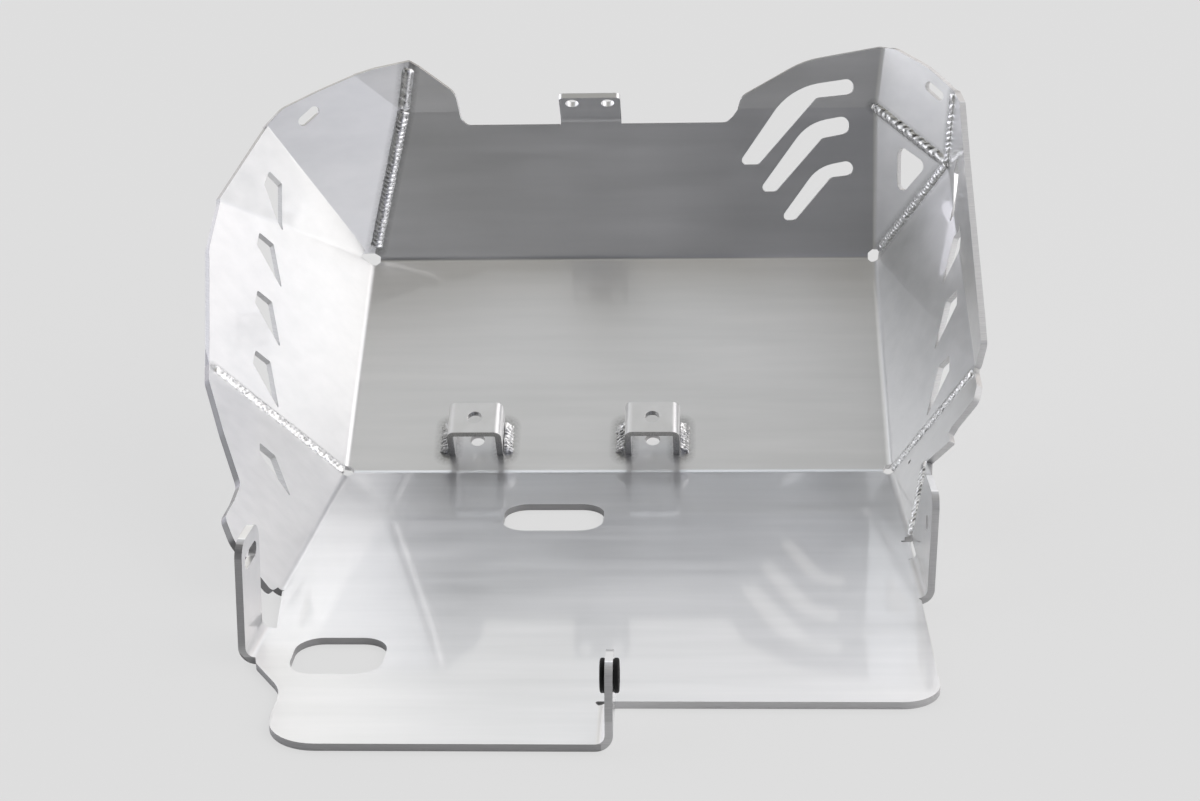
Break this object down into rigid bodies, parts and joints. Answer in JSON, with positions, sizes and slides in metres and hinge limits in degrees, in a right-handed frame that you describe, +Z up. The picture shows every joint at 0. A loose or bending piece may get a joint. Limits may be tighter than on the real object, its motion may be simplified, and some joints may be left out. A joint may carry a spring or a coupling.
{
  "type": "motorcycle skid plate",
  "caption": "Folded and welded aluminium skid plate for a motorcycle, with upright front wall, flared side wings, saddle brackets, mounting lugs and a rubber grommet at the rear.",
  "frame": {"origin": "middle of the rear panel on the centre line, on its underside", "axes": "+X to the right across the bike, +Y forward to the front wheel, +Z up; the rear panel lies level"},
  "size_m": [0.4906, 0.5333, 0.2427],
  "materials": {
    "aluminium": "satin mill finish",
    "weld": "bright as welded",
    "rubber": "matt black"
  },
  "bodies": {
    "root": {"plate": "aluminium", "bracket_left": "aluminium", "bracket_right": "aluminium", "grommet": "rubber", "bead_left_front": "weld", "bead_left_top": "weld", "bead_left_rear": "weld", "bead_right_low": "weld", "bead_right_side": "weld", "bead_right_top": "weld", "bead_right_rear": "weld", "bead_right_web": "weld", "bead_foot_1": "weld", "bead_foot_2": "weld", "bead_foot_3": "weld", "bead_foot_4": "weld"}
  },
  "joints": []
}
